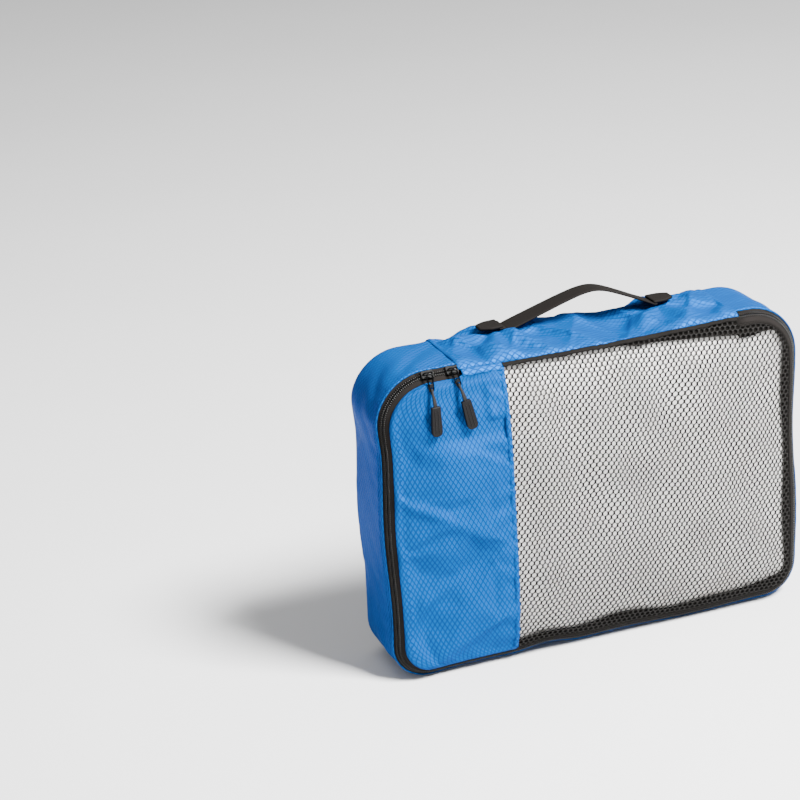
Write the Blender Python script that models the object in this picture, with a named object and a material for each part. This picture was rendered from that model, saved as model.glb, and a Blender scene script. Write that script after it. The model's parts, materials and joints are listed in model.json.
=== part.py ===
"""Packing cube: a zipped fabric travel organiser with a mesh window in its lid.

Metres, +Z up, +X to the right of someone facing the lid. The cube stands on a long
side, with its lid facing -Y and its carrying handle on top. The root body is the tray
(back, gusset, hinge panel and its half of the zip). The lid hangs from the hinge line
along the top and carries both sliders, which straddle the zip's closed end.
"""

import math

import bmesh
import bpy
from mathutils import Euler

# Overall size of the cube, without what stands proud of the lid
WIDTH = 0.350
HEIGHT = 0.250
DEPTH = 0.076
PULL_PROUD = 0.0112          # the pulls' fronts stand this far in front of the lid's edge
LID_BULGE = 0.010            # the lid's middle stands this far in front of its edge

Y_BACK = (DEPTH + PULL_PROUD) / 2
Y_FACE = Y_BACK - DEPTH      # plane of the lid's edge
HALF = WIDTH / 2

CORNER_TOP = 0.042           # corner radii, seen from the front
CORNER_BOTTOM = 0.032
BACK_EDGE = 0.012            # radius between gusset and back panel
FABRIC = 0.0015              # lined ripstop, with its seam allowance
GAP = 0.0003                 # between pieces that touch

# Zip: its band lies at 45 degrees between the gusset and the lid
BAND = 0.011                 # inset of the lid's edge, and setback of the gusset's
TAPE = 0.0009
COIL_HALF_GAP = 0.0006
COIL_WIDTH = 0.0022
COIL_TOP = 0.0020            # height of the coil above the tape
PIVOT_HEIGHT = 0.0039        # hinge line above the tape, level with the sliders' bails
CLOSED_END_ANGLE = math.radians(12)   # the closed end reaches this far round the corner

# Hinge panel and blue side of the lid
HINGE_LEFT = -0.1075
HINGE_RIGHT = 0.121
MESH_LEFT = -0.076           # seam between the lid's blue side and its mesh
LID_FABRIC = 0.0010
LINING_SETBACK = 0.0025

# Handle
HANDLE_X = 0.008
HANDLE_Y = 0.0205
HANDLE_HALF_SPAN = 0.066
HANDLE_RISE = 0.0235
STRAP_WIDTH = 0.018
STRAP_ROOT_WIDTH = 0.0024    # gathered at its roots, so that it can swing over the panel
STRAP = 0.0018
STRAP_END = 0.014

# Sliders and pulls
LEFT_SLIDER_X = -HALF + CORNER_TOP
RIGHT_SLIDER_X = -0.1135
RIGHT_PULL_TILT = math.radians(-12)
LINK_SETBACK = 0.0033        # link's middle in front of the lid's edge
LINK_DROP = 0.009            # pin to lower eye
LINK_THICK = 0.0008
CORD = 0.0010
CORD_LOOP = 0.0014           # radius of the cord round the link's rim
RIM_DROP = LINK_DROP + 0.00185
TAB_TOP_DROP = 0.0205
TAB_LENGTH = 0.0240
TAB_THICK = 0.0032
TAB_TOP_WIDTH = 0.0068
TAB_BOTTOM_WIDTH = 0.0085

ARC_STEPS = 9


def zip_point(across, out):
    """(inset, y) of a point in the zip's plane: across is towards the lid, out is off the tape."""
    inset = BAND / 2 + (across - out) / math.sqrt(2)
    y = Y_FACE + BAND / 2 - (across + out) / math.sqrt(2)
    return inset, y


PIVOT_INSET, PIVOT_Y = zip_point(0, PIVOT_HEIGHT)
PIVOT_Z = HEIGHT - PIVOT_INSET


# ---------- materials ----------

def material(name, colour, roughness, metallic=0.0):
    made = bpy.data.materials.new(name)
    made.use_nodes = True
    shader = made.node_tree.nodes["Principled BSDF"]
    shader.inputs["Base Color"].default_value = (*colour, 1)
    shader.inputs["Roughness"].default_value = roughness
    shader.inputs["Metallic"].default_value = metallic
    return made


def make_materials():
    return {
        "ripstop": material("blue_ripstop_nylon", (0.020, 0.155, 0.56), 0.38),
        "mesh": material("black_net_mesh", (0.16, 0.15, 0.15), 0.75),
        "lining": material("pale_lining", (0.72, 0.70, 0.68), 0.9),
        "tape": material("black_zip_tape", (0.022, 0.020, 0.019), 0.85),
        "coil": material("black_nylon_coil", (0.015, 0.015, 0.015), 0.4),
        "binding": material("black_binding_tape", (0.018, 0.018, 0.018), 0.9),
        "webbing": material("black_webbing", (0.017, 0.017, 0.018), 0.8),
        "metal": material("black_slider_metal", (0.05, 0.05, 0.055), 0.35, metallic=1.0),
        "cord": material("black_pull_cord", (0.015, 0.015, 0.015), 0.7),
        "rubber": material("charcoal_pull_rubber", (0.045, 0.045, 0.05), 0.55),
    }


# ---------- mesh helpers ----------

def add_object(name, mesh, finish, smooth=True):
    made = bpy.data.objects.new(name, mesh)
    bpy.context.scene.collection.objects.link(made)
    made.data.materials.append(finish)
    if smooth:
        mesh.shade_smooth()
        mesh.set_sharp_from_angle(angle=math.radians(35))
    return made


def mesh_from_rings(name, rings, closed, finish):
    """Joins equal rings of points into one closed body, with end caps unless it runs round."""
    work = bmesh.new()
    loops = [[work.verts.new(point) for point in ring] for ring in rings]
    count = len(rings[0])
    pairs = zip(loops, loops[1:] + loops[:1]) if closed else zip(loops, loops[1:])
    for ring, following in pairs:
        for k in range(count):
            work.faces.new((ring[k], ring[(k + 1) % count], following[(k + 1) % count], following[k]))
    if not closed:
        work.faces.new(loops[0])
        work.faces.new(loops[-1])
    bmesh.ops.triangulate(work, faces=[face for face in work.faces if len(face.verts) > 4])
    bmesh.ops.recalc_face_normals(work, faces=work.faces)
    mesh = bpy.data.meshes.new(name)
    work.to_mesh(mesh)
    work.free()
    return add_object(name, mesh, finish)


def corner_stations(side_x, side_z, radius, first_turn, last_turn):
    """Stations round one corner: outline point and outward normal, by angle from +X."""
    centre_x = side_x * (HALF - radius)
    centre_z = HEIGHT / 2 + side_z * (HEIGHT / 2 - radius)
    stations = []
    for step in range(ARC_STEPS + 1):
        turn = first_turn + (last_turn - first_turn) * step / ARC_STEPS
        normal_x, normal_z = math.cos(turn), math.sin(turn)
        stations.append((centre_x + radius * normal_x, centre_z + radius * normal_z, normal_x, normal_z))
    return stations


QUARTER = math.pi / 2
TOP_LEFT = corner_stations(-1, 1, CORNER_TOP, QUARTER, 2 * QUARTER)
BOTTOM_LEFT = corner_stations(-1, -1, CORNER_BOTTOM, 2 * QUARTER, 3 * QUARTER)
BOTTOM_RIGHT = corner_stations(1, -1, CORNER_BOTTOM, 3 * QUARTER, 4 * QUARTER)
TOP_RIGHT = corner_stations(1, 1, CORNER_TOP, 0, QUARTER)


def top_station(x):
    return x, HEIGHT, 0, 1


def bottom_station(x):
    return x, 0, 0, -1


def sweep(name, profile, stations, finish, closed=False):
    """Carries a profile of (inset, y) points along stations of the rim."""
    rings = [
        [(x - nx * inset, y, z - nz * inset) for inset, y in profile]
        for x, z, nx, nz in stations
    ]
    return mesh_from_rings(name, rings, closed, finish)


def prism(name, outline, x_first, x_last, finish):
    """Extrudes a (y, z) outline along X."""
    rings = [[(x, y, z) for y, z in outline] for x in (x_first, x_last)]
    return mesh_from_rings(name, rings, False, finish)


def arc(centre_a, centre_b, radius, first, last, steps):
    return [
        (centre_a + radius * math.cos(first + (last - first) * k / steps),
         centre_b + radius * math.sin(first + (last - first) * k / steps))
        for k in range(steps + 1)
    ]


def join_solids(base, others):
    """Boolean union of overlapping helpers into base."""
    for other in others:
        other.hide_render = True
        other.display_type = "WIRE"
        union = base.modifiers.new("union_" + other.name, "BOOLEAN")
        union.operation = "UNION"
        union.object = other
    return base


# ---------- tray ----------

def back_curve(offset):
    """(inset, y) from the gusset's back end round to the back panel, at an offset inwards."""
    radius = BACK_EDGE - offset
    return [
        (BACK_EDGE - radius * math.cos(turn), Y_BACK - BACK_EDGE + radius * math.sin(turn))
        for turn in (QUARTER * k / 5 for k in range(6))
    ]


def zip_stations():
    return ([top_station(HINGE_LEFT)] + TOP_LEFT + BOTTOM_LEFT + BOTTOM_RIGHT + TOP_RIGHT
            + [top_station(HINGE_RIGHT)])


def tray_zip_stations():
    """The tray's half of the zip leaves out the closed end under the sliders."""
    turned = [QUARTER + CLOSED_END_ANGLE + (QUARTER - CLOSED_END_ANGLE) * k / ARC_STEPS
              for k in range(ARC_STEPS + 1)]
    start = [corner_station_at(turn) for turn in turned]
    return start + BOTTOM_LEFT + BOTTOM_RIGHT + TOP_RIGHT + [top_station(HINGE_RIGHT)]


def corner_station_at(turn):
    return (-HALF + CORNER_TOP + CORNER_TOP * math.cos(turn),
            HEIGHT - CORNER_TOP + CORNER_TOP * math.sin(turn), math.cos(turn), math.sin(turn))


def closed_end_stations():
    last = QUARTER + CLOSED_END_ANGLE - math.radians(0.6)
    return ([top_station(HINGE_LEFT - GAP)]
            + [corner_station_at(QUARTER + (last - QUARTER) * k / 3) for k in range(4)])


def make_gusset(finishes):
    front = Y_FACE + BAND
    profile = [(0, front)] + back_curve(0) + list(reversed(back_curve(FABRIC))) + [(FABRIC, front)]
    sweep("gusset_wall", profile, zip_stations(), finishes["ripstop"])


def make_hinge_panel(finishes):
    nose = [(PIVOT_Y + 0.0021, PIVOT_Z + 0.0002), (PIVOT_Y + 0.0019, PIVOT_Z + 0.0012),
            (PIVOT_Y + 0.0032, HEIGHT - 0.0003), (Y_FACE + BAND, HEIGHT)]
    outer = [(y, HEIGHT - inset) for inset, y in back_curve(0)]
    inner = [(y, HEIGHT - inset) for inset, y in reversed(back_curve(FABRIC))]
    under = [(Y_FACE + BAND, HEIGHT - FABRIC), (PIVOT_Y + 0.0036, PIVOT_Z + 0.0004)]
    prism("hinge_panel", nose + outer + inner + under, HINGE_LEFT + GAP, HINGE_RIGHT - GAP,
          finishes["ripstop"])


def make_back_panel(finishes):
    stations = TOP_LEFT + BOTTOM_LEFT + BOTTOM_RIGHT + TOP_RIGHT
    inset = BACK_EDGE + GAP
    rings = [
        [(x - nx * inset, y, z - nz * inset) for x, z, nx, nz in stations]
        for y in (Y_BACK, Y_BACK - FABRIC)
    ]
    mesh_from_rings("back_panel", rings, False, finishes["ripstop"])


def zip_strip(first, last, low, high):
    """Profile between two places across the zip and two heights off its tape."""
    return [zip_point(first, low), zip_point(last, low), zip_point(last, high), zip_point(first, high)]


def coil_profile(side):
    first, last = side * COIL_HALF_GAP, side * (COIL_HALF_GAP + COIL_WIDTH)
    bevel = side * 0.0005
    return [zip_point(first, GAP), zip_point(last, GAP), zip_point(last, COIL_TOP - 0.0006),
            zip_point(last - bevel, COIL_TOP), zip_point(first, COIL_TOP)]


def make_tray_zip(finishes):
    reach = BAND / math.sqrt(2) - TAPE - GAP
    stations = tray_zip_stations()
    sweep("zip_tape_tray", zip_strip(-COIL_HALF_GAP, -reach, -TAPE, 0), stations, finishes["tape"])
    sweep("zip_coil_tray", coil_profile(-1), stations, finishes["coil"])


def rim_band(inset_first, inset_last, y_first, y_last):
    return [(inset_first, y_first), (inset_last, y_first), (inset_last, y_last), (inset_first, y_last)]


def make_bindings(finishes):
    """Tapes inside the tray that cover the raw edges of its seams."""
    inset = FABRIC + GAP
    front = Y_FACE + BAND + 0.0008
    sweep("front_seam_binding", rim_band(inset, inset + 0.001, front, front + 0.008),
          zip_stations(), finishes["binding"])
    back = Y_BACK - FABRIC - GAP
    ring = TOP_LEFT + BOTTOM_LEFT + BOTTOM_RIGHT + TOP_RIGHT
    sweep("back_seam_binding", rim_band(BACK_EDGE - 0.001, BACK_EDGE + 0.007, back - 0.001, back),
          ring, finishes["binding"], closed=True)
    under = HEIGHT - FABRIC - GAP
    first, last = Y_FACE + BAND + 0.0098, Y_BACK - BACK_EDGE - 0.001
    for name, x in (("hinge_side_binding_left", HINGE_LEFT), ("hinge_side_binding_right", HINGE_RIGHT)):
        prism(name, [(first, under), (last, under), (last, under - 0.001), (first, under - 0.001)],
              x - 0.005, x + 0.005, finishes["binding"])


def make_hinge_bead(finishes):
    """The rolled seam on the hinge line."""
    outline = arc(PIVOT_Y, PIVOT_Z, 0.0011, 0, 2 * math.pi, 12)[:-1]
    prism("hinge_seam_bead", outline, HINGE_LEFT + GAP, HINGE_RIGHT - GAP, finishes["binding"])


def make_handle(finishes):
    """The strap arches between two stitched ends, and is its own moving piece."""
    pivot = bpy.data.objects.new("handle_axis", None)
    pivot.location = (HANDLE_X, HANDLE_Y, HEIGHT + 0.0012)
    bpy.context.scene.collection.objects.link(pivot)
    steps = 20
    outer = [(-HANDLE_HALF_SPAN * math.cos(math.pi * k / steps), HANDLE_RISE * math.sin(math.pi * k / steps))
             for k in range(steps + 1)]
    inner = [(x * (1 - STRAP / HANDLE_HALF_SPAN), z * (1 - STRAP / HANDLE_RISE)) for x, z in outer]
    rings = []
    for (x_out, z_out), (x_in, z_in) in zip(outer, inner):
        side = min(STRAP_WIDTH, STRAP_ROOT_WIDTH + 1.6 * z_in) / 2
        rings.append([(x_out, -side, z_out), (x_out, side, z_out), (x_in, side, z_in), (x_in, -side, z_in)])
    strap = mesh_from_rings("handle_strap", rings, False, finishes["webbing"])
    strap.parent = pivot
    low, high = HEIGHT + GAP, HEIGHT + GAP + STRAP
    first, last = HANDLE_Y - STRAP_WIDTH / 2 - 0.001, HANDLE_Y + STRAP_WIDTH / 2 + 0.001
    flat = [(first, low), (last, low), (last, high), (first, high)]
    for name, side in (("handle_end_left", -1), ("handle_end_right", 1)):
        root = HANDLE_X + side * (HANDLE_HALF_SPAN + 0.0012)
        prism(name, flat, *sorted((root, root + side * STRAP_END)), finishes["webbing"])


# ---------- lid ----------

def lid_front(x, z):
    """Outer surface of the filled lid: flat at its rim, crowned in its middle."""
    across = min(1, abs(x) / (HALF - BAND))
    along = min(1, abs(z - HEIGHT / 2) / (HEIGHT / 2 - BAND))
    return Y_FACE - LID_BULGE * (1 - across ** 4) * (1 - along ** 4)


def half_width(z, inset):
    """Half the rim's width at a height, for an outline set in from the cube's."""
    for radius, depth in ((CORNER_BOTTOM, z), (CORNER_TOP, HEIGHT - z)):
        if depth < radius:
            return HALF - radius + math.sqrt(max(0, (radius - inset) ** 2 - (radius - depth) ** 2))
    return HALF - inset


def height_levels(inset):
    """Heights from the bottom edge to the top one, closer together in the corners."""
    low = [CORNER_BOTTOM - (CORNER_BOTTOM - inset) * math.cos(QUARTER * k / 5) for k in range(5)]
    high = [HEIGHT - CORNER_TOP + (CORNER_TOP - inset) * math.sin(QUARTER * k / 6) for k in range(1, 7)]
    first, last = CORNER_BOTTOM, HEIGHT - CORNER_TOP
    return low + [first + (last - first) * k / 8 for k in range(9)] + high


def lid_sheet(name, left, right, inset, columns, setback, thickness, finish):
    """A panel that follows the lid's crowned surface. left and right give x at a height."""
    front, back = [], []
    for z in height_levels(inset):
        span = [left(z) + (right(z) - left(z)) * k / columns for k in range(columns + 1)]
        front.append([(x, lid_front(x, z) + setback, z) for x in span])
        back.append([(x, lid_front(x, z) + setback + thickness, z) for x in span])
    rings = [front_row + back_row[::-1] for front_row, back_row in zip(front, back)]
    return mesh_from_rings(name, rings, False, finish)


def make_lid_panels(finishes):
    edge = BAND + 0.0003
    lid_sheet("lid_side_panel", lambda z: -half_width(z, edge), lambda z: MESH_LEFT - GAP, edge, 7,
              0, LID_FABRIC, finishes["ripstop"])
    lid_sheet("lid_mesh_panel", lambda z: MESH_LEFT + GAP, lambda z: half_width(z, edge), edge, 16,
              0, LID_FABRIC, finishes["mesh"])
    inner = BAND + 0.0072
    lid_sheet("lid_lining", lambda z: MESH_LEFT + 0.006, lambda z: half_width(z, inner), inner, 14,
              LINING_SETBACK, LID_FABRIC, finishes["lining"])


def make_lid_trim(finishes):
    setback = LID_FABRIC + GAP
    strip = rim_band(BAND + 0.0004, BAND + 0.0066, Y_FACE + setback, Y_FACE + setback + 0.0008)
    sweep("lid_edge_strip", strip,
          [bottom_station(MESH_LEFT + 0.005)] + BOTTOM_RIGHT + TOP_RIGHT + [top_station(MESH_LEFT + 0.005)],
          finishes["binding"])
    sweep("lid_side_binding", strip,
          [top_station(MESH_LEFT - 0.005)] + TOP_LEFT + BOTTOM_LEFT + [bottom_station(MESH_LEFT - 0.005)],
          finishes["binding"])
    rings = []
    for z in height_levels(BAND + 0.0003):
        y = lid_front(MESH_LEFT, z) + setback
        rings.append([(MESH_LEFT - 0.0035, y, z), (MESH_LEFT + 0.0035, y, z),
                      (MESH_LEFT + 0.0035, y + 0.0009, z), (MESH_LEFT - 0.0035, y + 0.0009, z)])
    mesh_from_rings("lid_panel_hem", rings, False, finishes["ripstop"])
    low, high = HEIGHT - BAND + 0.0002, PIVOT_Z - 0.0024
    prism("lid_hinge_strip", [(Y_FACE, low), (PIVOT_Y - 0.0008, high), (PIVOT_Y + 0.0003, high),
                              (Y_FACE + 0.0012, low)],
          HINGE_LEFT + GAP, HINGE_RIGHT - GAP, finishes["binding"])


def make_lid_zip(finishes):
    reach = BAND / math.sqrt(2) - TAPE - GAP
    sweep("zip_tape_lid", zip_strip(COIL_HALF_GAP, reach, -TAPE, 0), zip_stations(), finishes["tape"])
    sweep("zip_coil_lid", coil_profile(1), zip_stations(), finishes["coil"])
    stations = closed_end_stations()
    sweep("zip_tape_closed_end", zip_strip(-COIL_HALF_GAP, -0.0065, -TAPE, 0), stations, finishes["tape"])
    sweep("zip_coil_closed_end", coil_profile(-1), stations, finishes["coil"])


# ---------- sliders and pulls ----------

def slider_block(name, across, low, high, x, half_length, finish):
    """A block lying along the zip at the top run, given across and off its tape."""
    corners = [(y, HEIGHT - inset) for inset, y in zip_strip(across[0], across[1], low, high)]
    return prism(name, corners, x - half_length, x + half_length, finish)


def make_slider(side, x, finishes):
    metal = finishes["metal"]
    body = slider_block("slider_body_" + side, (-0.0042, 0.0042), 0.0024, 0.0032, x, 0.005, metal)
    parts = [
        slider_block("slider_flange_tray_" + side, (-0.0042, -0.0034), 0.0006, 0.0028, x, 0.0049, metal),
        slider_block("slider_flange_lid_" + side, (0.0034, 0.0042), 0.0006, 0.0028, x, 0.0048, metal),
        slider_block("slider_post_" + side, (-0.0003, 0.0003), -0.0018, 0.0028, x, 0.0019, metal),
        slider_block("slider_under_plate_" + side, (-0.0042, 0.0042), -0.0022, -0.0014, x, 0.0045, metal),
    ]
    join_solids(body, parts)
    foot = slider_block("slider_bail_" + side, (-0.0014, 0.0014), 0.0035, 0.0050, x, 0.0033, metal)
    pin_front = Y_FACE - LINK_SETBACK - LINK_THICK / 2 - 0.0010
    pin = bar_along_y("bail_pin_" + side, x, PIVOT_Z, 0.0007, pin_front + 0.0004, PIVOT_Y - 0.0003, metal)
    cap = bar_along_y("bail_cap_" + side, x, PIVOT_Z, 0.0016, pin_front, pin_front + 0.0007, metal)
    join_solids(foot, [pin, cap])


def bar_along_y(name, x, z, radius, y_first, y_last, finish, hole=0.0):
    """A round bar, or a ring where it has a hole."""
    steps = 20
    turns = [2 * math.pi * k / steps for k in range(steps)]

    def circle(size, y):
        return [(x + size * math.cos(turn), y, z + size * math.sin(turn)) for turn in turns]

    if hole:
        rings = [circle(radius, y_first), circle(radius, y_last), circle(hole, y_last), circle(hole, y_first)]
        return mesh_from_rings(name, rings, True, finish)
    return mesh_from_rings(name, [circle(radius, y_first), circle(radius, y_last)], False, finish)


def make_pull(side, x, tilt, finishes):
    """Link, cord loop and moulded tab, hanging from the slider's pin and tilted about it."""
    pin = bpy.data.objects.new("pull_axis_" + side, None)
    pin.location = (x, 0, PIVOT_Z)
    pin.rotation_euler = Euler((0, tilt, 0))
    bpy.context.scene.collection.objects.link(pin)
    y_mid = Y_FACE - LINK_SETBACK
    metal = finishes["metal"]
    y_first, y_last = y_mid - LINK_THICK / 2, y_mid + LINK_THICK / 2
    link = bar_along_y("pull_link_" + side, 0, 0, 0.0030, y_first, y_last, metal, hole=0.0012)
    eye = bar_along_y("link_eye_" + side, 0, -LINK_DROP, 0.0024, y_first, y_last, metal, hole=0.0013)
    neck_top, neck_bottom = -0.0024, -LINK_DROP + 0.0020
    outline = [(y_first + 0.0001, neck_top), (y_last - 0.0001, neck_top),
               (y_last - 0.0001, neck_bottom), (y_first + 0.0001, neck_bottom)]
    neck = prism("link_neck_" + side, outline, -0.0010, 0.0010, metal)
    join_solids(link, [eye, neck])
    cord = make_cord(side, y_mid, finishes["cord"])
    tab = make_tab(side, finishes["rubber"])
    for piece in (link, eye, neck, cord, tab):
        piece.parent = pin


def make_cord(side, y_mid, finish):
    """A loop round the rim of the link's eye, whose two ends go down into the tab."""
    tab_y = Y_FACE - PULL_PROUD + TAB_THICK / 2
    top = -TAB_TOP_DROP + GAP
    lean = math.atan2(tab_y - y_mid, -(top + RIM_DROP))
    half_turn = [QUARTER * 2 * k / 10 + lean for k in range(11)]
    loop = [(0, y_mid + CORD_LOOP * math.cos(turn), -RIM_DROP + CORD_LOOP * math.sin(turn))
            for turn in half_turn]
    curve = bpy.data.curves.new("pull_cord_" + side, "CURVE")
    curve.dimensions = "3D"
    curve.bevel_depth = CORD / 2
    curve.bevel_resolution = 2
    curve.use_fill_caps = True
    ends = [(0, tab_y + 0.0008, top), (0, tab_y - 0.0008, top)]
    points = [ends[0]] + loop + [ends[1]]
    spline = curve.splines.new("POLY")
    spline.points.add(len(points) - 1)
    for made, point in zip(spline.points, points):
        made.co = (*point, 1)
    cord = bpy.data.objects.new("pull_cord_" + side, curve)
    bpy.context.scene.collection.objects.link(cord)
    curve.materials.append(finish)
    return cord


def make_tab(side, finish):
    top, bottom = -TAB_TOP_DROP, -TAB_TOP_DROP - TAB_LENGTH
    round_top = arc(0, top - TAB_TOP_WIDTH / 2, TAB_TOP_WIDTH / 2, 0.15, math.pi - 0.15, 8)
    flat_top = [(x, min(z, top - 0.0004)) for x, z in round_top]
    round_bottom = arc(0, bottom + TAB_BOTTOM_WIDTH / 2, TAB_BOTTOM_WIDTH / 2, math.pi, 2 * math.pi, 8)
    outline = flat_top + round_bottom
    y_front = Y_FACE - PULL_PROUD
    rings = [[(x, y, z) for x, z in outline] for y in (y_front, y_front + TAB_THICK)]
    tab = mesh_from_rings("pull_tab_" + side, rings, False, finish)
    bevel = tab.modifiers.new("soft_edges", "BEVEL")
    bevel.width = 0.0006
    bevel.segments = 2
    bevel.limit_method = "ANGLE"
    return tab


def main():
    for old in list(bpy.data.objects):
        bpy.data.objects.remove(old, do_unlink=True)
    finishes = make_materials()
    make_gusset(finishes)
    make_hinge_panel(finishes)
    make_back_panel(finishes)
    make_tray_zip(finishes)
    make_bindings(finishes)
    make_hinge_bead(finishes)
    make_handle(finishes)
    make_lid_panels(finishes)
    make_lid_trim(finishes)
    make_lid_zip(finishes)
    for side, x, tilt in (("left", LEFT_SLIDER_X, 0), ("right", RIGHT_SLIDER_X, RIGHT_PULL_TILT)):
        make_slider(side, x, finishes)
        make_pull(side, x, tilt, finishes)


main()
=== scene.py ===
"""Looks of the packing cube: fabric, net, zip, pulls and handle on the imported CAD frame."""
import json
import math

import bmesh
import bpy
import numpy as np
from mathutils import Matrix, Vector


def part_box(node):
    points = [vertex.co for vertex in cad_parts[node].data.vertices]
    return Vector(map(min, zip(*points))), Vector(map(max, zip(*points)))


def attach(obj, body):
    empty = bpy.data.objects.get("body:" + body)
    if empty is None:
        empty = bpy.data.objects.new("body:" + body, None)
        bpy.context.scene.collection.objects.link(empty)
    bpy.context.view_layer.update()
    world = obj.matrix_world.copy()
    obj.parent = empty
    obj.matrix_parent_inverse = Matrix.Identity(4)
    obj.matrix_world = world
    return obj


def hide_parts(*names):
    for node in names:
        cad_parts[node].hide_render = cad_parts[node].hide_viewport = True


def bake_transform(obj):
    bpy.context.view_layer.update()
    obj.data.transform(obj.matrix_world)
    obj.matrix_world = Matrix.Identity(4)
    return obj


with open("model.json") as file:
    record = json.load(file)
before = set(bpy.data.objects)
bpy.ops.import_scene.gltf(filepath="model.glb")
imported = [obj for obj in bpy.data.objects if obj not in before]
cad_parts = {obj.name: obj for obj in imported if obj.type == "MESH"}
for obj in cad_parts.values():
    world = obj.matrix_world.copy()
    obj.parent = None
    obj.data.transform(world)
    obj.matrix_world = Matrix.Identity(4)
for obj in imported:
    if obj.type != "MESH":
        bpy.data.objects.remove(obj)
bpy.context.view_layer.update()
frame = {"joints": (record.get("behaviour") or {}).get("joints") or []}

JOINTS = {joint["name"]: joint for joint in frame["joints"]}

# ---------- places, all read from the frame ----------

WALL_LOW, WALL_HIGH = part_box("gusset_wall")
HALF = WALL_HIGH[0]
HEIGHT = WALL_HIGH[2]
Y_WALL = WALL_LOW[1]                                  # gusset's front edge
Y_BACK = WALL_HIGH[1]
Y_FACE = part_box("lid_hinge_strip")[0][1]              # plane of the lid's edge
BAND = Y_WALL - Y_FACE
HINGE_LEFT, HINGE_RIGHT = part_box("hinge_panel")[0][0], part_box("hinge_panel")[1][0]
MESH_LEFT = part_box("lid_mesh_panel")[0][0]
LID_BULGE = Y_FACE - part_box("lid_mesh_panel")[0][1]
PIVOT = Vector(JOINTS["lid_hinge"]["pos_m"])
HANDLE_PIVOT = Vector(JOINTS["handle_swing"]["pos_m"])
CORNER_TOP = HEIGHT - JOINTS["slider_left_corner"]["pos_m"][2]
LEFT_SLIDER_X = JOINTS["slider_left_corner"]["pos_m"][0]
RIGHT_SLIDER_X = JOINTS["link_right_swing"]["pos_m"][0]

# ---------- sizes that the frame doesn't hold ----------

CORNER_BOTTOM = 0.032
BACK_EDGE = 0.012
CLOTH_THICK = 0.0006
HINGE_SAG = 0.0022           # how far the hinge seam hangs down in its middle
CLOSED_END_ANGLE = math.radians(12)
NET_PITCH = 0.0044
NET_ROW = 0.00335
NET_HOLE = (0.0033, 0.0038)
WINDOW_TOP = PIVOT[2] - 0.0021
LAP = 0.0032                 # how far the blue cloth laps over the tapes
NET_TILT = math.radians(-5)
COIL_PITCH = 0.0016
ZIP_SHIFT = -0.0012          # the coil lies nearer to the gusset than to the lid
STEP = 0.005                 # spacing of the points along the straight runs of the rim
FINE_STEP = 0.0025           # the same along the zip
HINGE_LAP = 0.0018           # how far the hinge panel laps over the gusset's ends
STITCH_LIFT = 0.0001         # stitches over the cloth that they hold
THIN_CLOTH = 0.0004
BINDING_THICK = 0.0008
TAPE_THICK = 0.0007
STRAP_THICK = 0.0017
STRAP_END_THICK = 0.0026     # the strap's end is folded over
LINING_BEHIND = 0.0034       # the lining behind the lid's outer surface
WIRE_RADIUS = 0.00065
CORD_RADIUS = 0.00105
RIB_RADIUS = 0.0004
NET_SIDES = 12               # points round each hole of the net
QUARTER = math.pi / 2


def zip_point(across, out):
    """(inset, y) of a point in the zip's plane: across is towards the lid, out is off the tape."""
    across = across + ZIP_SHIFT
    return (BAND / 2 + (across - out) / math.sqrt(2),
            Y_FACE + BAND / 2 - (across + out) / math.sqrt(2))


# ---------- materials ----------

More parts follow.
